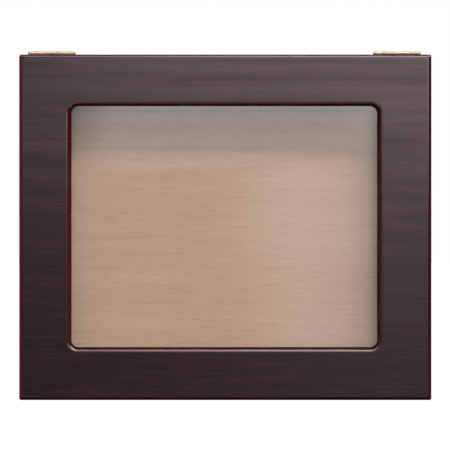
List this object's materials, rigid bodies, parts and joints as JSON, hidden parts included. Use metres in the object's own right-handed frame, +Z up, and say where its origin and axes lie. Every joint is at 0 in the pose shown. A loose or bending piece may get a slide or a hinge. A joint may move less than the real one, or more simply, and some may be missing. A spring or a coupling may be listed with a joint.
{
  "type": "jersey display frame",
  "caption": "Shallow wall-hung display case: veneered wood box with a glazed door that swings up on brass butt hinges along its top edge.",
  "frame": {"origin": "on the wall plane, at the middle of the back edge of the case's top board", "axes": "+Z up, +Y into the wall, so the door's face looks along -Y; +X to the right of a person who faces the case"},
  "size_m": [0.61, 0.0508, 0.5183],
  "materials": {
    "mahogany_veneer": "dark mahogany veneer with horizontal grain under satin lacquer, edges lacquered deep red",
    "back_panel_wood": "pale natural veneer with short fine fibre streaks, matt",
    "clear_acrylic": "clear acrylic sheet",
    "stained_strip": "stained wooden strip",
    "brass": "polished",
    "zinc_plate": "bright zinc plate",
    "nickel": "nickel plate",
    "felt": "black felt"
  },
  "bodies": {
    "case": {"box_top": "mahogany_veneer", "box_bottom": "mahogany_veneer", "box_left": "mahogany_veneer", "box_right": "mahogany_veneer", "back_panel": "back_panel_wood", "bumper_left": "felt", "bumper_right": "felt", "magnet_left": "nickel", "magnet_right": "nickel", "hanger_plate_left": "zinc_plate", "hanger_plate_right": "zinc_plate", "hanger_screw_left_1": "zinc_plate", "hanger_screw_left_2": "zinc_plate", "hanger_screw_right_1": "zinc_plate", "hanger_screw_right_2": "zinc_plate", "hinge_left_case_leaf": "brass", "hinge_left_case_screw_1": "brass", "hinge_left_case_screw_2": "brass", "hinge_left_case_screw_3": "brass", "hinge_left_pin": "brass", "hinge_right_case_leaf": "brass", "hinge_right_case_screw_1": "brass", "hinge_right_case_screw_2": "brass", "hinge_right_case_screw_3": "brass", "hinge_right_pin": "brass"},
    "door": {"door_panel": "mahogany_veneer", "acrylic_pane": "clear_acrylic", "glazing_strip_top": "stained_strip", "glazing_strip_bottom": "stained_strip", "glazing_strip_left": "stained_strip", "glazing_strip_right": "stained_strip", "glazing_brad_01": "brass", "glazing_brad_02": "brass", "glazing_brad_03": "brass", "glazing_brad_04": "brass", "glazing_brad_05": "brass", "glazing_brad_06": "brass", "glazing_brad_07": "brass", "glazing_brad_08": "brass", "glazing_brad_09": "brass", "glazing_brad_10": "brass", "strike_left": "zinc_plate", "strike_right": "zinc_plate", "strike_screw_left": "zinc_plate", "strike_screw_right": "zinc_plate", "hinge_left_door_leaf": "brass", "hinge_left_door_screw_1": "brass", "hinge_left_door_screw_2": "brass", "hinge_left_door_screw_3": "brass", "hinge_right_door_leaf": "brass", "hinge_right_door_screw_1": "brass", "hinge_right_door_screw_2": "brass", "hinge_right_door_screw_3": "brass"}
  },
  "joints": [
    {"name": "door_hinge", "type": "hinge", "parent": "case", "child": "door", "pos_m": [0, -0.0322, 0.0113], "axis": [-1, 0, 0], "range_deg": [0, 180]}
  ]
}
